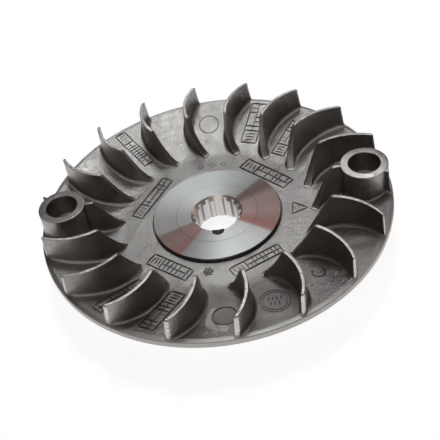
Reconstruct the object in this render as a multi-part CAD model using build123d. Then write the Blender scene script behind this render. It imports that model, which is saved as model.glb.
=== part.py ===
from build123d import *

import math
import os

# Ventilated fan flywheel: the fixed drive-face half pulley of a small scooter engine.
# It is an aluminium die casting with a steel splined hub cast into its middle. The front
# carries curved fan blades and two round bosses with blind holes for a holding tool.
# The back is a smooth shallow cone that a V-belt runs on.
#
# Millimetres. +Z is the spin axis, pointing out of the fan side. The origin is the centre
# of the bore on the rear hub face, which is the face the part rests on. +X goes through
# one of the two bosses. The casting is split into its disc, its blades and its bosses, and
# these meet face to face.

# ---- driving dimensions -------------------------------------------------------------
RIM_R = 53.5  # outer radius, 107 mm across
RIM_THICK = 2.2  # height of the rim's edge
RIM_CHAMFER = 0.3
RIM_LAND_WIDTH = 0.9  # flat turned land on top of the rim
BELT_ANGLE = 14.3  # slope of the belt cone, in degrees

HUB_LENGTH = 8.4  # rear hub face to the turned front face
FACE_R = 19.8  # turned front face, insert and aluminium together
FACE_STEP = 1.25  # how far that face stands above the cast floor
FACE_DROP = 4.05  # how far it lies below the rim's land
DISH_R = 30.3  # the flat cast floor ends here and the dish starts to rise

INSERT_R = 12.6  # steel insert, as it shows in both hub faces
FLANGE_R = 15.2  # its locking flange, buried in the casting
FLANGE_LOW = 2.8
FLANGE_HIGH = 5.2
FLANGE_NOTCHES = 8  # round notches that key the flange against turning
NOTCH_R = 1.5

SPLINE_TEETH = 16
SPLINE_MINOR_R = 6.8
SPLINE_MAJOR_R = 7.5
SPLINE_GAP_TIP = 1.45  # width of a gap between teeth, at the minor radius
SPLINE_GAP_ROOT = 1.15  # and at the major radius
FRONT_CHAMFER_R = 8.0  # 45 degree lead-ins to the bore
REAR_CHAMFER_R = 7.3
INDEX_R = 1.9  # round index mark at the bore's front edge
INDEX_AT = 8.1
INDEX_DEPTH = 1.0

BLADES = 18  # equally spaced stations; two of them carry the bosses
BOSS_STATIONS = (0, 9)
BLADE_HEIGHT = 7.35  # above the rim's land
BLADE_TOP_THICK = 1.15
BLADE_DRAFT = 3.0  # degrees each side
TIP_R, TIP_ANGLE = 52.3, -6.1  # outer end of the top edge, angle from its station
TIP_FOOT_R = 52.9  # the outer ends are turned to a cone, wider at the rim's land than at the top
KINK_R, KINK_ANGLE = 36.2, 0.1  # where the level top edge meets the sloping one
FOOT_R, FOOT_ANGLE = 29.8, -6.5  # inner end, where the slope meets the floor
TOP_EDGE_R = 18.6  # radius of the curve that the level top edge follows
PAST_TIP_TURN = 12  # degrees that this curve runs on past the tip before it is turned off

BOSS_AT = 45.8
BOSS_R = 7.1
TOOL_BORE_R = 4.75
TOOL_BORE_DEPTH = 7.4

# ---- worked-out sizes ---------------------------------------------------------------
BELT_SLOPE = math.tan(math.radians(BELT_ANGLE))
RIM_TOP_Z = HUB_LENGTH + FACE_DROP
RIM_LOW_Z = RIM_TOP_Z - RIM_THICK
FLOOR_Z = HUB_LENGTH - FACE_STEP
BLADE_TOP_Z = RIM_TOP_Z + BLADE_HEIGHT
RIM_FLAT_R = RIM_R - RIM_CHAMFER
LAND_R = RIM_FLAT_R - RIM_LAND_WIDTH
HUB_REAR_R = RIM_FLAT_R - RIM_LOW_Z / BELT_SLOPE  # where the belt cone ends at the rear hub face
PITCH = 360 / BLADES


def polar(radius, degrees):
    """A point in plan."""
    return Vector(radius * math.cos(math.radians(degrees)), radius * math.sin(math.radians(degrees)))


def turned(profile):
    """The solid of revolution about Z of a closed outline of (radius, height) points."""
    outline = make_face(Polyline(*[(r, 0, z) for r, z in profile], close=True))
    return revolve(outline, Axis.Z, 360)


def rod(radius, low, high, x=0.0, y=0.0):
    """A cylinder on +Z from one height to another."""
    return Pos(x, y, low) * Cylinder(radius, high - low, align=(Align.CENTER, Align.CENTER, Align.MIN))


# ---- steel hub insert ---------------------------------------------------------------
def insert_blank():
    """The insert without its bore: a plug with a notched locking flange round its waist."""
    plug = rod(INSERT_R, 0, HUB_LENGTH)
    flange = rod(FLANGE_R, FLANGE_LOW, FLANGE_HIGH)
    for place in PolarLocations(FLANGE_R, FLANGE_NOTCHES):
        flange -= place * rod(NOTCH_R, FLANGE_LOW, FLANGE_HIGH)
    return plug + flange


def spline_cutter():
    """The splined bore: a round bore at the tooth tips, with one gap cut between each pair of teeth."""
    inner = SPLINE_MINOR_R - 0.5
    gap = make_face(
        Polyline(
            (inner, -SPLINE_GAP_TIP / 2),
            (SPLINE_MINOR_R, -SPLINE_GAP_TIP / 2),
            (SPLINE_MAJOR_R, -SPLINE_GAP_ROOT / 2),
            (SPLINE_MAJOR_R, SPLINE_GAP_ROOT / 2),
            (SPLINE_MINOR_R, SPLINE_GAP_TIP / 2),
            (inner, SPLINE_GAP_TIP / 2),
            close=True,
        )
    )
    section = Sketch() + Circle(SPLINE_MINOR_R)
    for place in PolarLocations(0, SPLINE_TEETH):
        section += place * gap
    return Pos(0, 0, -1) * extrude(section, HUB_LENGTH + 2)


def lead_in(radius, face_z, inward):
    """The 45 degree cone at one end of the bore. inward is +1 or -1, the way it narrows along Z."""
    return turned([(0, face_z), (radius, face_z), (0, face_z + inward * radius)])


def hub_insert():
    insert = insert_blank() - spline_cutter()
    insert -= lead_in(FRONT_CHAMFER_R, HUB_LENGTH, -1)
    insert -= lead_in(REAR_CHAMFER_R, 0, 1)
    insert -= rod(INDEX_R, HUB_LENGTH - INDEX_DEPTH, HUB_LENGTH + 1, 0, -INDEX_AT)
    return insert


# ---- disc of the casting ------------------------------------------------------------
def casting_disc():
    profile = [(0, 0), (HUB_REAR_R, 0), (RIM_FLAT_R, RIM_LOW_Z), (RIM_R, RIM_LOW_Z + RIM_CHAMFER)]
    profile += [(RIM_R, RIM_TOP_Z - RIM_CHAMFER), (RIM_FLAT_R, RIM_TOP_Z), (LAND_R, RIM_TOP_Z)]
    profile += [(DISH_R, FLOOR_Z), (FACE_R, FLOOR_Z), (FACE_R, HUB_LENGTH), (0, HUB_LENGTH)]
    return turned(profile) - insert_blank()


# ---- blades -------------------------------------------------------------------------
def blade_plan(half):
    """The blade's plan outline, half its thickness to each side of its centre line. The line
    is a large arc from past the tip to the kink and a smaller one, tangent to it, from there
    to the foot."""
    tip, kink, foot = polar(TIP_R, TIP_ANGLE), polar(KINK_R, KINK_ANGLE), polar(FOOT_R, FOOT_ANGLE)
    chord = tip - kink
    across = Vector(chord.Y, -chord.X).normalized()
    sag = math.sqrt(TOP_EDGE_R**2 - (chord.length / 2) ** 2)
    outer_centre = kink + chord * 0.5 + across * sag
    past_tip = outer_centre + (tip - outer_centre).rotate(Axis.Z, -PAST_TIP_TURN)
    to_kink = (kink - outer_centre).normalized()
    step = foot - kink
    inner_radius = step.length**2 / (-2 * step.dot(to_kink))
    inner_centre = kink - to_kink * inner_radius

    def on(centre, point, reach):
        return centre + (point - centre).normalized() * ((point - centre).length + reach)

    def halfway(centre, a, b, reach):
        middle = ((a - centre).normalized() + (b - centre).normalized()).normalized()
        return centre + middle * ((a - centre).length + reach)

    def side(reach):
        outer = ThreePointArc(
            on(outer_centre, past_tip, reach),
            halfway(outer_centre, past_tip, kink, reach),
            on(outer_centre, kink, reach),
        )
        inner = ThreePointArc(
            on(inner_centre, kink, reach),
            halfway(inner_centre, kink, foot, reach),
            on(inner_centre, foot, reach),
        )
        return outer, inner

    convex_outer, convex_inner = side(half)
    concave_outer, concave_inner = side(-half)
    foot_end = Line(convex_inner @ 1, concave_inner @ 1)
    tip_end = Line(concave_outer @ 0, convex_outer @ 0)
    return make_face([convex_outer, convex_inner, foot_end, concave_inner, concave_outer, tip_end])


def above_disc(inner_r, slope_top_r, outer_r, outer_top_r):
    """Everything between the disc's upper surface and the blade tops. Its inner side slopes
    from inner_r at the floor to slope_top_r at the top, and its outer side from outer_r at the
    rim's land to outer_top_r at the top."""
    profile = [(inner_r, FLOOR_Z), (DISH_R, FLOOR_Z), (LAND_R, RIM_TOP_Z), (outer_r, RIM_TOP_Z)]
    profile += [(outer_top_r, BLADE_TOP_Z), (slope_top_r, BLADE_TOP_Z)]
    return turned(profile)


def fan_blade():
    """The blade of station 0, drafted from its foot to its thin top edge."""
    height = BLADE_TOP_Z - FLOOR_Z + 0.5
    foot_half = BLADE_TOP_THICK / 2 + height * math.tan(math.radians(BLADE_DRAFT))
    prism = Pos(0, 0, BLADE_TOP_Z - height) * extrude(blade_plan(foot_half), height, taper=BLADE_DRAFT)
    return prism & above_disc(FOOT_R, KINK_R, TIP_FOOT_R, TIP_R)


def boss_blade(blade):
    """The blade of station 0 with the boss standing in its way, bored for the holding tool."""
    post = rod(BOSS_R, FLOOR_Z, BLADE_TOP_Z, BOSS_AT, 0) & above_disc(FOOT_R, FOOT_R, RIM_FLAT_R, RIM_FLAT_R)
    tool_bore = rod(TOOL_BORE_R, BLADE_TOP_Z - TOOL_BORE_DEPTH, BLADE_TOP_Z + 1, BOSS_AT, 0)
    return blade + post - tool_bore


# ---- files --------------------------------------------------------------------------
def save(name, shape):
    found = shape.solids()
    assert len(found) == 1, f"{name} has {len(found)} solids"
    export_step(found[0], f"parts/{name}.step")


os.makedirs("parts", exist_ok=True)
save("hub_insert", hub_insert())
save("casting_disc", casting_disc())

blade = fan_blade()
boss = boss_blade(blade)
number = 0
for station in range(BLADES):
    turn = Rot(0, 0, -PITCH * station)
    if station in BOSS_STATIONS:
        side = "right" if station == 0 else "left"
        save(f"boss_blade_{side}", turn * boss)
    else:
        number += 1
        save(f"fan_blade_{number:02d}", turn * blade)
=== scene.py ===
import cmath
import math
import random

import bmesh
import bpy
from mathutils import Matrix, Vector


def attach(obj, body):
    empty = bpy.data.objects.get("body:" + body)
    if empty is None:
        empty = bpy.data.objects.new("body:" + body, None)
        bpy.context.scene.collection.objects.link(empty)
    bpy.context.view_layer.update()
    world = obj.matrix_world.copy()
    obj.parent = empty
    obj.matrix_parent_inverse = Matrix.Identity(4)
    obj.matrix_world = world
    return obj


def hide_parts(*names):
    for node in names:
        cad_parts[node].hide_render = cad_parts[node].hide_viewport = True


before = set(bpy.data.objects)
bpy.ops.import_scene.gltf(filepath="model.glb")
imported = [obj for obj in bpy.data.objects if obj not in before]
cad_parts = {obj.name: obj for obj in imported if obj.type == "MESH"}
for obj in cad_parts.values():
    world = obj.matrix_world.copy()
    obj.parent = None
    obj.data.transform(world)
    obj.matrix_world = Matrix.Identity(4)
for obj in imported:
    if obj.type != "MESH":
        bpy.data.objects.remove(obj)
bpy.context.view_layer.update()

# Ventilated fan flywheel: an aluminium die casting with curved blades, two tool bosses and a
# steel splined hub cast into its middle. Lengths here are millimetres until a mesh is made;
# the origin, the axes and the sizes are the CAD model's. Points in plan are complex numbers.

MM = 0.001
RANDOM = random.Random(11)

# ---- sizes --------------------------------------------------------------------------
RIM_R = 53.5
RIM_TOP_Z = 12.45
RIM_LOW_Z = 10.25
RIM_ROUND = 0.3
LAND_R = 52.2
HUB_REAR_R = 12.99
HUB_Z = 8.4
FACE_R = 19.8
FLOOR_Z = 7.15
DISH_R = 30.3
DISH_SLOPE = (RIM_TOP_Z - FLOOR_Z) / (LAND_R - DISH_R)
DISH_BLEND = 2.2
RIM_GROOVES = (52.75, 52.35)  # two fine turned grooves in the rim's land
RIM_GROOVE_HALF = 0.08
RIM_GROOVE_DEPTH = 0.06
FACE_EDGE = 0.12  # chamfer round the turned hub face
FACE_GROOVE = 0.25  # depth of the groove round its foot
INSERT_R = 12.6
SEAM_WIDTH = 0.12  # chamfer of the casting where the insert starts
SEAM_DEPTH = 0.07
SPLINE_MAJOR_R = 7.5
FRONT_CHAMFER_R = 8.0
INDEX_R = 1.9
INDEX_AT = 8.1
INDEX_FLOOR_Z = HUB_Z - 1.0
INDEX_TOP_Z = HUB_Z - 0.14
INDEX_GAP = 0.05  # between the black mark and the notch it lies in

BLADES = 18
PITCH = 360 / BLADES
BOSS_STATIONS = {0: "right", 9: "left"}
BLADE_TOP_Z = 19.8
TOP_HALF = 0.56
DRAFT = math.tan(math.radians(3.0))
END_DRAFT = math.tan(math.radians(4.5))
EDGE_ROUND = 0.17
FOOT_FILLET = 0.95
FOOT_BLEND, KINK_BLEND = 1.2, 0.5  # softness of the bends at both ends of the sloping top edge
TIP_R, TIP_ANGLE = 52.3, -6.1
KINK_R, KINK_ANGLE = 36.2, 0.1
FOOT_R, FOOT_ANGLE = 29.9, -6.5
TOP_EDGE_R = 18.6
TIP_ROUND = 0.5
TIP_POWER = 0.55  # 1 makes the tip's end a half ellipse, less makes it squarer
TIP_START = 0.9  # share of the outer arc where the fillet starts to shrink
TIP_FILLET = 0.25  # share of the fillet that is left at the tip
TIP_THINNING = 0.16  # share of its thickness that the blade loses towards the tip
TIP_WAIST = 0.26  # share that the tip loses on top of this, low down
LIMIT_R = 53.1  # no blade or boss reaches further out
SIDE_LEVEL = 5  # the level of a blade's outline where its fillet ends and its side starts
EDGE_LEVELS = 5  # the last levels, where the top edge is rounded and given painted shade at the tip
END_STEPS = 8

BOSS_AT = 45.8
BOSS_R = 7.1
BOSS_FILLET = 0.6
BOSS_FLARE = 0.15  # how much wider the boss is at its foot, because of its draft
BOSS_EDGE = 0.2
BOSS_BLADE_DROP = 0.02  # keeps the tops of boss and blade apart
TOOL_BORE_R = 4.75
TOOL_BORE_EDGE = 0.15
TOOL_FLOOR_Z = BLADE_TOP_Z - 7.4
TOOL_FLOOR_ROUND = 0.3

SKIRT_REACH = 0.35  # the hidden lowest edge of a blade or boss lies this far past its fillet
SKIRT_DEPTH = 0.12  # and this far under the disc's surface
MARK_DEPTH = 0.06  # how far the foot of a cast mark lies under it


def polar(radius, degrees):
    """A point in plan."""
    return cmath.rect(radius, math.radians(degrees))


def disc_z(radius):
    """Height of the cast upper surface: a flat floor that blends into the dish."""
    past = radius - DISH_R
    if past <= -DISH_BLEND:
        return FLOOR_Z
    if past < DISH_BLEND:
        return FLOOR_Z + DISH_SLOPE * (past + DISH_BLEND) ** 2 / (4 * DISH_BLEND)
    return min(RIM_TOP_Z, FLOOR_Z + DISH_SLOPE * past)


# Points of a blade's centre line at station 0, in plan.
TIP = polar(TIP_R, TIP_ANGLE)
KINK = polar(KINK_R, KINK_ANGLE)
FOOT = polar(FOOT_R, FOOT_ANGLE)


# ---- mesh helpers -------------------------------------------------------------------
def finish_piece(name, bm, materials, sharp=40, replaces=()):
    """Turns a bmesh in millimetres into a piece that rides on the part's one body."""
    bmesh.ops.recalc_face_normals(bm, faces=bm.faces)
    bmesh.ops.scale(bm, vec=(MM, MM, MM), verts=bm.verts)
    mesh = bpy.data.meshes.new(name)
    bm.to_mesh(mesh)
    bm.free()
    for material in materials:
        mesh.materials.append(material)
    for polygon in mesh.polygons:
        polygon.use_smooth = True
    mesh.set_sharp_from_angle(angle=math.radians(sharp))
    piece = bpy.data.objects.new(name, mesh)
    bpy.context.scene.collection.objects.link(piece)
    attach(piece, "root")
    if replaces:
        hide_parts(*replaces)


def bridge(bm, low, high, index=0):
    """A closed band of faces between two rings of vertices. Returns the faces in order."""
    count = len(low)
    band = []
    for i in range(count):
        j = (i + 1) % count
        face = bm.faces.new((low[i], low[j], high[j], high[i]))
        face.material_index = index
        band.append(face)
    return band


def ring(bm, radius, z, segments, centre=0j):
    """A level circle of vertices."""
    points = [centre + polar(radius, 360 * i / segments) for i in range(segments)]
    return [bm.verts.new((p.real, p.imag, z)) for p in points]


# ---- disc ---------------------------------------------------------------------------
def disc_profile():
    """(radius, height, material index) from the belt cone round the rim and in to the hub face.
    Materials: 0 cast, 1 turned, 2 rim land (a darker copy, painted shade), 3 edge (a lighter copy, painted
    light), 4 faced (with painted reflection fans), 5 dark (painted shade in the groove round the hub
    face). An index belongs to the band that ends at that point."""
    cast, turned, rim, edge, faced, dark = range(6)
    points = [(INSERT_R, 0.0, turned), (HUB_REAR_R - 0.1, 0.0, turned)]
    cone_start = HUB_REAR_R + 0.15
    cone_end = RIM_R - RIM_ROUND
    for i in range(9):
        r = cone_start + (cone_end - cone_start) * i / 8
        points.append((r, RIM_LOW_Z * (r - HUB_REAR_R) / (cone_end - HUB_REAR_R), turned))
    for angle in (-60, -30, 0):
        a = math.radians(angle)
        r = RIM_R - RIM_ROUND * (1 - math.cos(a))
        points.append((r, RIM_LOW_Z + RIM_ROUND * (1 + math.sin(a)), edge))
    points.append((RIM_R, RIM_TOP_Z - RIM_ROUND, edge))
    points.append((RIM_R - 0.12, RIM_TOP_Z - 0.08, rim))
    points.append((RIM_R - RIM_ROUND, RIM_TOP_Z, rim))
    for groove_r in RIM_GROOVES:
        points.append((groove_r + RIM_GROOVE_HALF, RIM_TOP_Z, rim))
        points.append((groove_r, RIM_TOP_Z - RIM_GROOVE_DEPTH, rim))
        points.append((groove_r - RIM_GROOVE_HALF, RIM_TOP_Z, rim))
    points.append((LAND_R - 0.1, RIM_TOP_Z - 0.01, rim))
    radius = LAND_R - 0.6
    while radius > FACE_R + 1.0:
        points.append((radius, disc_z(radius), cast))
        radius -= 0.75
    points.append((FACE_R + 0.5, FLOOR_Z, cast))
    # The groove round the hub face's foot and its wall take the dark material: painted shade.
    points.append((FACE_R + 0.3, FLOOR_Z - FACE_GROOVE, dark))
    points.append((FACE_R + 0.05, FLOOR_Z - FACE_GROOVE, dark))
    points.append((FACE_R, HUB_Z - FACE_EDGE, dark))
    face_start = FACE_R - FACE_EDGE
    face_end = INSERT_R + SEAM_WIDTH
    for i in range(6):
        points.append((face_start + (face_end - face_start) * i / 5, HUB_Z, faced))
    points.append((INSERT_R, HUB_Z - SEAM_DEPTH, faced))
    return points


def make_disc(materials):
    bm = bmesh.new()
    segments = 288
    profile = disc_profile()
    rings = [ring(bm, r, z, segments) for r, z, _ in profile]
    for (low, high), (_, _, index) in zip(zip(rings, rings[1:]), profile[1:]):
        bridge(bm, low, high, index)
    bridge(bm, rings[-1], rings[0], 1)
    finish_piece("cast_disc", bm, materials, sharp=28, replaces=("casting_disc",))


# ---- blades -------------------------------------------------------------------------
CAST_SLOT, SKIMMED_SLOT, PAINTED_SHADE_SLOT = range(3)  # material slots of a blade or boss


def blade_arcs():
    """Centres of the two arcs of a blade's centre line: the small one at the foot, and the
    large one, tangent to it, that runs out to the tip."""
    half = (TIP - KINK) / 2
    outer = KINK + half - 1j * half / abs(half) * math.sqrt(TOP_EDGE_R**2 - abs(half) ** 2)
    to_kink = (KINK - outer) / abs(KINK - outer)
    step = FOOT - KINK
    inner_r = abs(step) ** 2 / (-2 * (step * to_kink.conjugate()).real)
    return KINK - to_kink * inner_r, outer


INNER_CENTRE, OUTER_CENTRE = blade_arcs()


def blade_line(inner_steps, outer_steps):
    """The blade's centre line from foot to tip, as (point, unit normal to the convex side,
    share). The share is how far along the outer arc the point is, from 0 to 1."""
    line = []
    for centre, start, end, steps, outside in (
        (INNER_CENTRE, FOOT, KINK, inner_steps, 0),
        (OUTER_CENTRE, KINK, TIP, outer_steps, 1),
    ):
        turn = cmath.phase((end - centre) / (start - centre))
        for i in range(steps + outside):
            arm = (start - centre) * cmath.rect(1, turn * i / steps)
            line.append((centre + arm, arm / abs(arm), outside * i / steps))
    return line


def along_outer_arc(share, reach, end_radius):
    """The point that share of the way along a line that far outside the outer arc, when the
    line ends where it crosses end_radius."""
    ring_radius = TOP_EDGE_R + reach
    away = abs(OUTER_CENTRE)
    cosine = (end_radius**2 - away**2 - ring_radius**2) / (2 * ring_radius * away)
    start = cmath.phase(KINK - OUTER_CENTRE)
    end = cmath.phase(OUTER_CENTRE) + math.acos(cosine)
    return OUTER_CENTRE + cmath.rect(ring_radius, start + (end - start) * share)


def soft_step(value, blend):
    """The larger of value and 0, with a smooth change over blend to each side."""
    if value > blend:
        return value
    if value < -blend:
        return 0.0
    return (value + blend) ** 2 / (4 * blend)


def blade_top(radius):
    """Height of the blade's top edge: up from the floor on a steep slope, then level."""
    slope = (BLADE_TOP_Z - FLOOR_Z) / (KINK_R - FOOT_R)
    lift = soft_step(slope * (radius - FOOT_R), FOOT_BLEND)
    return BLADE_TOP_Z - soft_step(BLADE_TOP_Z - FLOOR_Z - lift, KINK_BLEND)


def half_width(z):
    """Half a blade's thickness at a height, before it thins towards its tip."""
    return TOP_HALF + (BLADE_TOP_Z - z) * DRAFT


def outline_slots(count):
    """Where each point of a blade's outline sits: (station, across, along). across is -1 to 1
    in half widths, along is how far round the rounded end, -1 at the foot and 1 at the tip."""
    slots = [(k, 1.0, 0.0) for k in range(count)]
    turns = [math.pi * i / END_STEPS for i in range(1, END_STEPS)]
    for a in turns:
        across = math.copysign(abs(math.cos(a)) ** TIP_POWER, math.cos(a))
        slots.append((count - 1, across, math.sin(a) ** TIP_POWER))
    slots += [(k, -1.0, 0.0) for k in reversed(range(count))]
    slots += [(0, -math.cos(a), -math.sin(a)) for a in turns]
    return slots


def blade_levels(bottom, top, fillet):
    """(outward reach beyond the drafted side, height) from the skirt to the rounded top edge."""
    height = max(top - bottom, 0.05)
    foot = min(fillet, 0.4 * height)
    edge = min(EDGE_ROUND, 0.3 * height)
    levels = [(foot + SKIRT_REACH, bottom - SKIRT_DEPTH), (foot, bottom - 0.01)]
    for angle in (20, 42, 66, 90):
        a = math.radians(angle)
        levels.append((foot * (1 - math.sin(a)), bottom + foot * (1 - math.cos(a))))
    for share in (0.07, 0.2, 0.6, 0.96, 1.0):
        levels.append((0.0, bottom + foot + (height - foot - edge) * share))
    for angle in (35, 65, 90):
        a = math.radians(angle)
        levels.append((-edge * (1 - math.cos(a)), top - edge * (1 - math.sin(a))))
    return levels


def add_blade(bm, line, drop=0.0):
    """One blade along the centre line given, filleted onto the disc. drop lowers its top."""
    slots = outline_slots(len(line))
    foot_way = (line[0][0] - line[1][0]) / abs(line[0][0] - line[1][0])
    reaches_tip = line[-1][2] == 1
    level_count = len(blade_levels(FLOOR_Z, BLADE_TOP_Z, FOOT_FILLET))
    rings = []
    for level in range(level_count):
        verts = []
        for station, across, along in slots:
            point, normal, share = line[station]
            bottom = disc_z(abs(point))
            fillet = FOOT_FILLET
            if share > TIP_START:
                fillet *= 1 - (1 - TIP_FILLET) * (share - TIP_START) / (1 - TIP_START)
            reach, z = blade_levels(bottom, blade_top(abs(point)) - drop, fillet)[level]
            waist = TIP_WAIST * share**8 * min(1, (BLADE_TOP_Z - z) / (BLADE_TOP_Z - RIM_TOP_Z))
            side = half_width(z) * (1 - TIP_THINNING * share**2 - waist) + reach
            place = point + normal * across * side
            if share > 0:
                end_radius = TIP_R + (BLADE_TOP_Z - z) * END_DRAFT + reach
                end_radius -= TIP_ROUND * (1 - max(along, 0))
                place = along_outer_arc(share, across * side, min(end_radius, LIMIT_R))
            if along < 0:
                place += foot_way * (-along) * (0.5 * side + reach)
            if level <= SIDE_LEVEL:
                z += disc_z(abs(place)) - bottom
            verts.append(bm.verts.new((place.real, place.imag, z)))
        rings.append(verts)
    for level, (low, high) in enumerate(zip(rings, rings[1:])):
        band = bridge(bm, low, high)
        if not reaches_tip or level <= SIDE_LEVEL:
            continue
        skimmed_from = 0.9 if level == SIDE_LEVEL + 1 else 0.5  # narrower just above the fillet
        # Faces round the tip are skimmed, and those of the rounded top edge there take painted shade.
        for face, (_, _, along) in zip(band, slots):
            if along > skimmed_from:
                face.material_index = SKIMMED_SLOT if level < level_count - EDGE_LEVELS else PAINTED_SHADE_SLOT
    level_from = next(k for k, (point, _, _) in enumerate(line) if abs(point) > KINK_R + 0.3)
    cap_outline(bm, rings[0], len(line))
    cap_outline(bm, rings[-1], len(line), level_from)


def cap_outline(bm, verts, count, turned_from=None):
    """Closes a blade's outline with a strip of quads and a fan at each end. From that
    station on the strip is the flat that the lathe has skimmed."""
    total = len(verts)
    cap = (total - 2 * count) // 2
    last = 2 * count + cap - 1
    skimmed = turned_from is not None
    for k in range(count - 1):
        face = bm.faces.new((verts[k], verts[k + 1], verts[last - 1 - k], verts[last - k]))
        face.material_index = SKIMMED_SLOT if skimmed and k >= turned_from else CAST_SLOT
    end = bm.faces.new([verts[count - 1 + i] for i in range(cap + 2)])
    end.material_index = SKIMMED_SLOT if skimmed else CAST_SLOT
    bm.faces.new([verts[last + i] for i in range(cap + 1)] + [verts[0]])


def turn_about_axis(bm, degrees):
    """Turns a mesh in place about the spin axis."""
    turn = Matrix.Rotation(math.radians(degrees), 3, "Z")
    bmesh.ops.rotate(bm, cent=(0, 0, 0), matrix=turn, verts=bm.verts)


def make_blades(materials):
    line = blade_line(14, 22)
    number = 0
    for station in range(BLADES):
        if station in BOSS_STATIONS:
            continue
        number += 1
        bm = bmesh.new()
        add_blade(bm, line)
        turn_about_axis(bm, -PITCH * station)
        name = f"blade_{number:02d}"
        finish_piece(name, bm, materials, sharp=50, replaces=(f"fan_blade_{number:02d}",))


def make_bosses(cast, rings, dark):
    line = blade_line(18, 34)
    wall = (BOSS_R + TOOL_BORE_R) / 2
    inner = []
    outer = []
    for station in line:
        point = station[0]
        if abs(point - BOSS_AT) >= wall:
            (inner if abs(point) < BOSS_AT else outer).append(station)
    for station, side in BOSS_STATIONS.items():
        bm = bmesh.new()
        add_blade(bm, inner, BOSS_BLADE_DROP)
        add_blade(bm, outer, BOSS_BLADE_DROP)
        add_boss(bm)
        turn_about_axis(bm, -PITCH * station)
        materials = [cast, rings[side], dark]
        finish_piece(f"boss_{side}", bm, materials, sharp=35, replaces=(f"boss_blade_{side}",))


def add_boss(bm):
    """The round boss with its blind bore. Each row is (radius, share, lift): lift above the disc,
    and then that share of the way up to the top."""
    segments = 96
    foot_r = BOSS_R + BOSS_FLARE
    rows = [(foot_r + BOSS_FILLET + SKIRT_REACH, None, -SKIRT_DEPTH), (foot_r + BOSS_FILLET, None, -0.01)]
    for angle in (25, 50, 75, 90):
        a = math.radians(angle)
        rows.append((foot_r + BOSS_FILLET * (1 - math.sin(a)), None, BOSS_FILLET * (1 - math.cos(a))))
    for share in (0.35, 0.7, 1.0):
        rows.append((foot_r - BOSS_FLARE * share, share, BOSS_FILLET))
    rings = []
    for radius, share, lift in rows:
        verts = []
        for i in range(segments):
            place = BOSS_AT + polar(radius, 360 * i / segments)
            if abs(place) > LIMIT_R:
                place *= LIMIT_R / abs(place)
            z = disc_z(abs(place)) + lift
            if share is not None:
                z += (BLADE_TOP_Z - BOSS_EDGE - z) * share
            verts.append(bm.verts.new((place.real, place.imag, z)))
        rings.append(verts)
    top = [(BOSS_R - 0.3 * BOSS_EDGE, BLADE_TOP_Z - 0.3 * BOSS_EDGE), (BOSS_R - BOSS_EDGE, BLADE_TOP_Z)]
    face_start = len(rings) + len(top)
    top += [(TOOL_BORE_R + TOOL_BORE_EDGE, BLADE_TOP_Z), (TOOL_BORE_R, BLADE_TOP_Z - TOOL_BORE_EDGE)]
    top.append((TOOL_BORE_R, TOOL_FLOOR_Z + TOOL_FLOOR_ROUND))
    top.append((TOOL_BORE_R - TOOL_FLOOR_ROUND, TOOL_FLOOR_Z))
    rings += [ring(bm, radius, z, segments, BOSS_AT) for radius, z in top]
    for i, (low, high) in enumerate(zip(rings, rings[1:]), 1):
        bridge(bm, low, high, SKIMMED_SLOT if i == face_start else CAST_SLOT)
    bm.faces.new(rings[-1])
    bm.faces.new(rings[0])


# ---- cast marks ---------------------------------------------------------------------
def surface_point(place, lift):
    """The point that far above the disc's surface at a place in plan."""
    return (place.real, place.imag, disc_z(abs(place)) + lift)


def ridge_section(top_half, height):
    """A ridge's section with sloping sides, as (place across in widths, lift) points."""
    return ((-0.5, -MARK_DEPTH), (-top_half, height), (top_half, height), (0.5, -MARK_DEPTH))


def add_ridge(bm, start, end, width=0.48, height=0.3):
    """A low raised line on the disc from one plan point to another."""
    length = abs(end - start)
    steps = max(1, int(length / 1.2))
    way = (end - start) / length
    across = way * 1j
    sections = []
    for i in range(steps + 1):
        place = start + (end - start) * i / steps
        taper = 0.25 if i in (0, steps) else 1.0
        section = []
        for side, lift in ridge_section(0.22, height * taper):
            section.append(bm.verts.new(surface_point(place + across * side * width, lift)))
        sections.append(section)
    for low, high in zip(sections, sections[1:]):
        bridge(bm, low, high)
    bm.faces.new(sections[0])
    bm.faces.new(sections[-1])


def add_ring_mark(bm, centre, radius, width=0.3, height=0.18, start=0, sweep=360, stretch=1.0):
    """A raised ring, or an arc of one, on the disc. stretch makes it longer outwards."""
    outwards = centre / abs(centre)
    steps = max(8, int(sweep / 8))
    closed = sweep >= 360
    sections = []
    for i in range(steps if closed else steps + 1):
        way = polar(1, start + sweep * i / steps)
        section = []
        for side, lift in ridge_section(0.2, height):
            offset = way * (radius + side * width)
            offset += outwards * (stretch - 1) * (offset * outwards.conjugate()).real
            section.append(bm.verts.new(surface_point(centre + offset, lift)))
        sections.append(section)
    for low, high in zip(sections, sections[1:] + sections[:1] if closed else sections[1:]):
        bridge(bm, low, high)
    if not closed:
        bm.faces.new(sections[0])
        bm.faces.new(sections[-1])


def add_table(bm, centre, azimuth, length, width, columns):
    """A date table: a title cell with plain bars in it, then a rail with rungs across it.
    azimuth is the direction of its long side, away from the title cell."""
    title = 0.3  # share of the length that the title cell takes
    way = polar(1, azimuth)
    across = way * 1j

    def at(u, v):
        return centre + way * (u - 0.5) * length + across * (v - 0.5) * width

    for v in (0, 1):
        add_ridge(bm, at(0, v), at(1, v), height=0.38)
    for u in (0, title, 1):
        add_ridge(bm, at(u, 0), at(u, 1), height=0.38)
    add_ridge(bm, at(title, 0.5), at(1, 0.5), width=0.42)
    for i in range(1, columns):
        u = title + (1 - title) * i / columns
        low = RANDOM.choice((0, 0, 0, 0.5))
        high = RANDOM.choice((1, 1, 0.5)) if low == 0 else 1
        add_ridge(bm, at(u, low), at(u, high), width=0.44, height=RANDOM.uniform(0.26, 0.4))
    for i in range(3):
        u = title * (0.25 + 0.25 * i)
        lean = RANDOM.uniform(-0.02, 0.02)
        add_ridge(bm, at(u - lean, 0.22), at(u + lean, 0.78), width=0.48, height=0.36)


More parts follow.
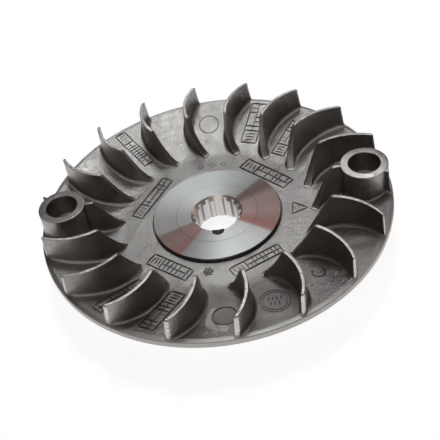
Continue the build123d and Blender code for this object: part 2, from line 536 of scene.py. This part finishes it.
def add_outline(bm, corners, width=0.4, height=0.32):
    """A closed raised outline through a few plan points."""
    for start, end in zip(corners, corners[1:] + corners[:1]):
        add_ridge(bm, start, end, width, height)


def add_patch(bm, corners, lift):
    """A thin raised patch of flash with a slightly crumpled top."""
    centre = sum(corners) / len(corners)
    rows = []
    for share, height in ((1.0, -0.05), (0.97, lift), (0.66, lift), (0.33, lift)):
        row = []
        for corner in corners:
            rise = height * (1 if height < 0 else RANDOM.uniform(0.5, 1.5))
            row.append(bm.verts.new(surface_point(centre + (corner - centre) * share, rise)))
        rows.append(row)
    for low, high in zip(rows, rows[1:]):
        bridge(bm, low, high)
    middle = bm.verts.new(surface_point(centre, lift))
    for a, b in zip(rows[-1], rows[-1][1:] + rows[-1][:1]):
        bm.faces.new((a, b, middle))
    bm.faces.new(rows[0])


# Date tables as (centre, direction of the long side, length, width, columns): four round the
# hub face and five between blades.
TABLES = (
    (polar(23.6, 44.5), 314.5, 18.5, 4.8, 9),
    (polar(23.8, 148.5), 58.5, 19.0, 3.8, 8),
    (polar(24.5, 232.0), 322.0, 14.5, 4.4, 7),
    (polar(23.7, 296.0), 26.0, 16.5, 3.6, 9),
    (polar(43.7, 126.4), 306.4, 16.0, 3.7, 10),
    (polar(42.8, 69.0), 69.0, 16.4, 5.2, 6),
    (polar(39.5, 49.6), 53.0, 14.0, 4.4, 7),
    (polar(41.5, 246.0), 240.0, 17.0, 4.6, 7),
    (polar(42.0, 226.5), 224.0, 17.0, 3.6, 8),
)
EJECTOR_HIGH = polar(42.9, 90.1)
EJECTOR_LOW = polar(43.3, 270.1)
# Patches of flash beside the lower ejector mark, as (outline of (radius, azimuth), height).
FLASH_LEFT = (
    (43.2, -96.6),
    (39.6, -95.2),
    (39.2, -93.4),
    (44.0, -95.0),
    (47.5, -93.6),
    (50.0, -91.6),
    (47.4, -96.4),
)
FLASH_BELOW = ((47.0, -92.6), (46.9, -90.2), (48.4, -88.6), (50.0, -89.6), (49.6, -91.6))
FLASH_PATCHES = ((FLASH_LEFT, 0.06), (FLASH_BELOW, 0.05))
# Rows of flecks as (middle, direction, half length, count).
FLECK_GROUPS = (
    (polar(49.9, -94.6), -4.6, 1.8, 11),
    (polar(43.8, 145.6), 155.6, 3.4, 14),
    (polar(49.8, 108.0), 190.0, 3.6, 16),
)


def make_tables(marks):
    for number, (centre, azimuth, length, width, columns) in enumerate(TABLES, 1):
        bm = bmesh.new()
        add_table(bm, centre, azimuth, length, width, columns)
        finish_piece(f"cast_table_{number:02d}", bm, [marks], sharp=60)


def make_ring_marks(marks):
    """Two ejector-pin rings and an arc mark. Each part is (radius, width, start, sweep)."""
    rings = (
        ("ejector_mark_01", EJECTOR_HIGH, ((3.3, 0.4, 0, 360),)),
        ("ejector_mark_02", EJECTOR_LOW, ((3.4, 0.45, 0, 360),)),
        ("arc_mark", polar(42.0, 310.5), ((1.9, 0.5, 150, 160), (1.6, 0.45, -60, 110))),
    )
    for name, centre, parts in rings:
        bm = bmesh.new()
        for radius, width, start, sweep in parts:
            add_ring_mark(bm, centre, radius, width=width, start=start, sweep=sweep, stretch=1.1)
        finish_piece(name, bm, [marks], sharp=60)


def make_small_marks(marks):
    """A badge of plain bars in a double ring, a plain triangle, three small diamonds and a cluster of
    dots.
    """
    bm = bmesh.new()
    centre = polar(42.6, 289.2)
    for radius, width in ((4.1, 0.26), (3.35, 0.22)):
        add_ring_mark(bm, centre, radius, width=width, stretch=1.2)
    for row, count in ((-1.9, 3), (0.4, 4)):
        for i in range(count):
            foot = centre + complex((i - (count - 1) / 2) * 1.15, row)
            add_ridge(bm, foot, foot + 1.5j, width=0.5, height=0.32)
    finish_piece("bar_badge", bm, [marks], sharp=60)

    bm = bmesh.new()
    centre = polar(24.8, -4.0)
    add_outline(bm, [centre + polar(3.1, -10 + 120 * i) for i in range(3)], width=0.42, height=0.34)
    add_outline(bm, [centre + polar(1.3, 50 + 120 * i) for i in range(3)])
    finish_piece("triangle_mark", bm, [marks], sharp=60)

    bm = bmesh.new()
    for azimuth in (100.0, 91.0, 82.0):
        middle = polar(24.5, azimuth)
        add_outline(bm, [middle + polar(1.05, azimuth + 90 * i) for i in range(4)])
    finish_piece("diamond_marks", bm, [marks], sharp=60)

    bm = bmesh.new()
    centre = polar(23.6, 260.5)
    for i in range(7):
        spot = centre + (polar(1.1, 60 * i) if i else 0)
        add_ring_mark(bm, spot, 0.38, width=0.3, height=0.24)
    finish_piece("dot_cluster", bm, [marks], sharp=60)


def make_flash(bright):
    """Thin bright flash left by the die beside one ejector mark, scratches round a third mark and
    flecks on the casting's left side."""
    bm = bmesh.new()
    for outline, lift in FLASH_PATCHES:
        add_patch(bm, [polar(r, a) for r, a in outline], lift)
    add_ring_mark(bm, EJECTOR_LOW, 3.95, width=0.3, height=0.14, start=25, sweep=125, stretch=1.1)
    finish_piece("flash_patch", bm, [bright], sharp=12)

    bm = bmesh.new()
    centre = polar(43.9, 331.3)
    add_ring_mark(bm, centre, 3.0, width=0.26, height=0.1, start=-20, sweep=250)
    for start, end in ((-35, -8), (-60, -40), (-100, -30)):
        add_ridge(bm, centre + polar(3.0, start), centre + polar(5.6, end), width=0.24, height=0.1)
    finish_piece("ejector_mark_03", bm, [bright], sharp=60)

    for number, (middle, way, spread, count) in enumerate(FLECK_GROUPS, 1):
        bm = bmesh.new()
        for i in range(count):
            along = (i / (count - 1) - 0.5) * 2 * spread
            start = middle + polar(along, way)
            start += polar(RANDOM.uniform(0, 0.7), RANDOM.uniform(0, 360))
            end = start + polar(RANDOM.uniform(0.5, 1.2), RANDOM.uniform(0, 360))
            add_ridge(bm, start, end, width=0.32, height=0.14)
        finish_piece(f"flash_flecks_{number:02d}", bm, [bright], sharp=60)


# ---- index mark ---------------------------------------------------------------------
def make_index_mark(black):
    """A black half-round piece in the notch at the bore's front edge."""
    middle = -1j * INDEX_AT
    radius = INDEX_R - INDEX_GAP
    bore = SPLINE_MAJOR_R + INDEX_GAP
    rise = math.degrees(math.asin((INDEX_AT**2 + radius**2 - bore**2) / (2 * INDEX_AT * radius)))
    steps = 28
    sweep = 180 + 2 * rise
    outline = [middle + polar(radius, 180 - rise + sweep * i / steps) for i in range(steps + 1)]
    end = math.degrees(cmath.phase(outline[-1]))
    turn = 2 * (end + 90)
    outline += [polar(bore, end - turn * i / 8) for i in range(1, 8)]
    bm = bmesh.new()
    rings = []
    centre = middle - 0.5j
    for shrink, z in ((1, INDEX_FLOOR_Z + 0.02), (1, INDEX_TOP_Z - 0.06), (0.95, INDEX_TOP_Z)):
        places = [centre + (p - centre) * shrink for p in outline]
        rings.append([bm.verts.new((p.real, p.imag, z)) for p in places])
    for low, high in zip(rings, rings[1:]):
        bridge(bm, low, high)
    bm.faces.new(rings[0])
    bm.faces.new(rings[-1])
    finish_piece("index_mark", bm, [black])


# ---- materials ----------------------------------------------------------------------
def new_material(name):
    material = bpy.data.materials.new(name)
    material.use_nodes = True
    nodes = material.node_tree.nodes
    return material, nodes, material.node_tree.links, nodes["Principled BSDF"]


def millimetres(nodes, links):
    """Object coordinates in millimetres."""
    place = nodes.new("ShaderNodeTexCoord")
    scale = nodes.new("ShaderNodeMapping")
    scale.inputs["Scale"].default_value = (1000, 1000, 1000)
    links.new(place.outputs["Object"], scale.inputs["Vector"])
    return scale.outputs["Vector"]


def noise_map(nodes, links, vector, scale, low, high, detail=4.0):
    """Noise with that many features a millimetre, mapped to the range from low to high."""
    texture = nodes.new("ShaderNodeTexNoise")
    texture.inputs["Scale"].default_value = scale
    texture.inputs["Detail"].default_value = detail
    links.new(vector, texture.inputs["Vector"])
    spread = nodes.new("ShaderNodeMapRange")
    spread.inputs["From Min"].default_value = 0.3
    spread.inputs["From Max"].default_value = 0.7
    spread.inputs["To Min"].default_value = low
    spread.inputs["To Max"].default_value = high
    links.new(texture.outputs["Fac"], spread.inputs["Value"])
    return spread.outputs["Result"]


def feed(links, socket, value):
    """Gives a socket a value, which is another socket, a colour or a number."""
    if isinstance(value, bpy.types.NodeSocket):
        links.new(value, socket)
    elif isinstance(value, (tuple, list)):
        socket.default_value = (*value, 1)
    else:
        socket.default_value = value


def mix_colour(nodes, links, factor, a, b, blend="MIX"):
    mix = nodes.new("ShaderNodeMix")
    mix.data_type = "RGBA"
    mix.blend_type = blend
    feed(links, mix.inputs["Factor"], factor)
    feed(links, mix.inputs["A"], a)
    feed(links, mix.inputs["B"], b)
    return mix.outputs["Result"]


def bump(nodes, links, height, distance, strength, under=None):
    node = nodes.new("ShaderNodeBump")
    node.inputs["Distance"].default_value = distance
    node.inputs["Strength"].default_value = strength
    links.new(height, node.inputs["Height"])
    if under is not None:
        links.new(under, node.inputs["Normal"])
    return node.outputs["Normal"]


def cast_material(name, light, dark, rough=(0.3, 0.42), pores=0.3):
    """Die-cast metal: soft patches from dark to light, a fine grain and small dark pores."""
    material, nodes, links, shader = new_material(name)
    vector = millimetres(nodes, links)
    shader.inputs["Metallic"].default_value = 1.0
    patches = noise_map(nodes, links, vector, 0.12, 0.0, 1.0)
    patched = mix_colour(nodes, links, patches, dark, light)
    pits = noise_map(nodes, links, vector, 1.1, -2.5 * pores, pores)
    pitted = mix_colour(nodes, links, pits, patched, [c * 0.4 for c in dark])
    links.new(pitted, shader.inputs["Base Color"])
    links.new(noise_map(nodes, links, vector, 0.4, *rough), shader.inputs["Roughness"])
    grain = bump(nodes, links, noise_map(nodes, links, vector, 2.2, 0, 1, 5), 0.00006, 0.9)
    swell = noise_map(nodes, links, vector, 0.35, 0, 1, 2)
    links.new(bump(nodes, links, swell, 0.00016, 0.45, grain), shader.inputs["Normal"])
    return material


def sector_colour(nodes, links, vector, sectors):
    """Colour by direction round the spin axis, from (azimuth, colour) stops."""
    around = nodes.new("ShaderNodeTexGradient")
    around.gradient_type = "RADIAL"
    links.new(vector, around.inputs["Vector"])
    ramp = nodes.new("ShaderNodeValToRGB")
    links.new(around.outputs["Fac"], ramp.inputs["Fac"])
    elements = ramp.color_ramp.elements
    for element, (azimuth, colour) in zip(elements, (sectors[0], sectors[-1])):
        element.position = azimuth / 360 + 0.5
        element.color = (*colour, 1)
    for azimuth, colour in sectors[1:-1]:
        elements.new(azimuth / 360 + 0.5).color = (*colour, 1)
    return ramp.outputs["Color"]


def turned_material(name, colour, rough=0.28, sectors=()):
    """Lathe-turned metal: fine rings round the spin axis and, outside the bore, broad fans of painted
    reflection, warmer and cooler sectors set by direction round the axis."""
    material, nodes, links, shader = new_material(name)
    vector = millimetres(nodes, links)
    shader.inputs["Metallic"].default_value = 1.0
    shader.inputs["Anisotropic"].default_value = 0.7
    shader.inputs["Anisotropic Rotation"].default_value = 0.25
    flat = nodes.new("ShaderNodeVectorMath")
    flat.operation = "MULTIPLY"
    flat.inputs[1].default_value = (1, 1, 0)
    links.new(vector, flat.inputs[0])
    reach = nodes.new("ShaderNodeVectorMath")
    reach.operation = "LENGTH"
    links.new(flat.outputs["Vector"], reach.inputs[0])
    lines = nodes.new("ShaderNodeTexNoise")
    lines.noise_dimensions = "1D"
    lines.inputs["Scale"].default_value = 2.4
    lines.inputs["Detail"].default_value = 1.5
    links.new(reach.outputs["Value"], lines.inputs["W"])
    tangent = nodes.new("ShaderNodeTangent")
    tangent.direction_type = "RADIAL"
    tangent.axis = "Z"
    links.new(tangent.outputs["Tangent"], shader.inputs["Tangent"])
    base = colour
    # Outside the bore the base colour takes the painted reflection fans, set by direction round the axis.
    if sectors:
        outside = nodes.new("ShaderNodeMath")
        outside.operation = "GREATER_THAN"
        outside.inputs[1].default_value = FRONT_CHAMFER_R
        links.new(reach.outputs["Value"], outside.inputs[0])
        painted_reflections = sector_colour(nodes, links, vector, sectors)
        base = mix_colour(nodes, links, outside.outputs["Value"], colour, painted_reflections)
    rings = mix_colour(nodes, links, lines.outputs["Fac"], (0.8, 0.8, 0.8), (1, 1, 1))
    links.new(mix_colour(nodes, links, 1.0, base, rings, "MULTIPLY"), shader.inputs["Base Color"])
    links.new(noise_map(nodes, links, vector, 0.2, rough - 0.02, rough + 0.02), shader.inputs["Roughness"])
    links.new(bump(nodes, links, lines.outputs["Fac"], 0.00002, 0.1), shader.inputs["Normal"])
    return material


def black_material(name):
    """Near-black with a fine grain."""
    material, nodes, links, shader = new_material(name)
    vector = millimetres(nodes, links)
    patches = noise_map(nodes, links, vector, 1.5, 0.0, 1.0)
    soot = mix_colour(nodes, links, patches, (0.008, 0.007, 0.007), (0.016, 0.014, 0.013))
    links.new(soot, shader.inputs["Base Color"])
    links.new(noise_map(nodes, links, vector, 2.0, 0.5, 0.7), shader.inputs["Roughness"])
    grain = noise_map(nodes, links, vector, 4.0, 0, 1)
    links.new(bump(nodes, links, grain, 0.00003, 0.4), shader.inputs["Normal"])
    return material


# ---- camera, light and floor --------------------------------------------------------
def place_camera():
    """The camera that sees the part as it is usually pictured: from the front, 43 degrees up."""
    azimuth, elevation, roll = math.radians(4.23), math.radians(43.01), math.radians(-10.99)
    distance, shift_right, shift_up = 252.3, 1.594, -5.295
    flat = math.cos(elevation)
    back = Vector((math.sin(azimuth) * flat, -math.cos(azimuth) * flat, math.sin(elevation)))
    level = Vector((math.cos(azimuth), math.sin(azimuth), 0))
    upright = back.cross(level)
    right = level * math.cos(roll) + upright * math.sin(roll)
    up = upright * math.cos(roll) - level * math.sin(roll)
    target = Vector((0, 0, RIM_TOP_Z)) + right * shift_right + up * shift_up
    place = (target + back * distance) * MM
    camera = bpy.data.objects.new("camera", bpy.data.cameras.new("camera"))
    turn = Matrix((right, up, back)).transposed().to_4x4()
    camera.matrix_world = Matrix.Translation(place) @ turn
    camera.data.lens = 67.69
    camera.data.sensor_width = 36
    camera.data.clip_start = 0.01
    bpy.context.scene.collection.objects.link(camera)
    bpy.context.scene.camera = camera


def add_light(name, place, size, power, colour=(1, 1, 1), aim=(0, 0, 0.01)):
    light = bpy.data.lights.new(name, "AREA")
    light.shape = "RECTANGLE"
    light.size, light.size_y = size
    light.energy = power
    light.color = colour
    lamp = bpy.data.objects.new(name, light)
    lamp.location = place
    lamp.rotation_euler = (Vector(aim) - lamp.location).to_track_quat("-Z", "Y").to_euler()
    bpy.context.scene.collection.objects.link(lamp)


def set_light():
    world = bpy.data.worlds.new("studio")
    bpy.context.scene.world = world
    world.use_nodes = True
    background = world.node_tree.nodes["Background"]
    background.inputs["Color"].default_value = (1.0, 0.72, 0.63, 1)
    background.inputs["Strength"].default_value = 0.09
    add_light("ceiling", (0.06, 0.15, 0.8), (1.0, 0.9), 1.9, (1.0, 1.0, 1.0), (0.0, 0.2, 0.0))
    add_light("back", (0.0, 1.1, 0.8), (0.5, 0.26), 0.12, (0.95, 0.99, 1.0))
    add_light("key", (0.02, 0.4, 0.8), (0.22, 0.2), 1.35, (0.93, 0.98, 1.0))
    add_light("low_key", (-0.035, 0.3, 0.2), (0.14, 0.08), 0.055, (0.95, 0.98, 1.0))
    add_light("front", (-0.2, -0.8, 0.65), (0.6, 0.4), 1.3, (1.0, 0.95, 0.92))
    add_light("warm", (0.9, 0.4, 0.35), (0.5, 0.4), 0.6, (1.0, 0.8, 0.7))
    bpy.context.scene.view_settings.view_transform = "Standard"


def make_floor():
    bm = bmesh.new()
    half = 20.0
    verts = [bm.verts.new((x * half, y * half, -0.0003)) for x, y in ((-1, -1), (1, -1), (1, 1), (-1, 1))]
    bm.faces.new(verts)
    mesh = bpy.data.meshes.new("floor")
    bm.to_mesh(mesh)
    bm.free()
    floor = bpy.data.objects.new("floor", mesh)
    material, _, _, shader = new_material("floor_white")
    shader.inputs["Base Color"].default_value = (0.5, 0.5, 0.5, 1)
    shader.inputs["Roughness"].default_value = 1.0
    shader.inputs["Emission Color"].default_value = (1, 1, 1, 1)
    shader.inputs["Emission Strength"].default_value = 0.75
    mesh.materials.append(material)
    bpy.context.scene.collection.objects.link(floor)


# ---- build --------------------------------------------------------------------------
place_camera()
set_light()
make_floor()

CAST = cast_material("cast_aluminium", (0.36, 0.348, 0.335), (0.26, 0.25, 0.242))
# A darker, rougher copy of the casting for the left boss's ring, which the right boss has in skimmed
# metal: painted shade.
DULL = cast_material("dull_casting_painted_shade", (0.34, 0.335, 0.33), (0.2, 0.195, 0.19), (0.5, 0.65))
# A darker copy of the casting for the raised cast marks, the groove round the hub face and the blades' tip
# edges: painted shade.
PAINTED_SHADE = cast_material("cast_marks_painted_shade", (0.22, 0.21, 0.203), (0.13, 0.123, 0.119))
SKIMMED = cast_material("skimmed_tops", (0.68, 0.66, 0.65), (0.46, 0.445, 0.435), (0.32, 0.48), pores=0.8)
TURNED = turned_material("turned_aluminium", (0.72, 0.71, 0.7))
# The rim's land and its outer wall are copies of one turned metal in different greys: the land darker as
# painted shade, the wall lighter than the land as painted light.
RIM = turned_material("turned_rim_painted_shade", (0.4, 0.39, 0.38), 0.45)
EDGE = turned_material("turned_edge_painted_light", (0.46, 0.45, 0.44), 0.38)
# Colours of the painted reflection fans on the turned hub face and insert: the white, pale, silver and
# warm sectors stand in for reflections in the turned metal.
SILVER = (0.58, 0.585, 0.585)
BRIGHT = (0.36, 0.368, 0.364)
PALE = (0.35, 0.355, 0.35)
WHITE = (0.5, 0.5, 0.495)
UMBER = (0.23, 0.172, 0.163)
RUSSET = (0.36, 0.2, 0.185)
TAN = (0.4, 0.285, 0.265)
ROSE = (0.54, 0.4, 0.375)
REFLECTION_FANS = (
    (-161, SILVER),
    (-157, TAN),
    (-143, TAN),
    (-128, RUSSET),
    (-123, PALE),
    (-65, PALE),
    (-38, WHITE),
    (-34, RUSSET),
    (-26, RUSSET),
    (-8, ROSE),
    (18, ROSE),
    (30, UMBER),
    (40, UMBER),
    (44, BRIGHT),
    (110, BRIGHT),
    (170, SILVER),
)
FACED = turned_material("faced_aluminium_painted_reflection", (0.7, 0.69, 0.68), 0.3, REFLECTION_FANS)
STEEL = turned_material("faced_steel_painted_reflection", (0.72, 0.7, 0.685), 0.32, REFLECTION_FANS)
BLACK = black_material("black_fill")

make_disc([CAST, TURNED, RIM, EDGE, FACED, PAINTED_SHADE])
make_blades([CAST, SKIMMED, PAINTED_SHADE])
make_bosses(CAST, {"right": SKIMMED, "left": DULL}, PAINTED_SHADE)
make_tables(PAINTED_SHADE)
make_ring_marks(PAINTED_SHADE)
make_small_marks(PAINTED_SHADE)
make_flash(SKIMMED)
make_index_mark(BLACK)
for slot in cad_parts["hub_insert"].material_slots:
    slot.material = STEEL
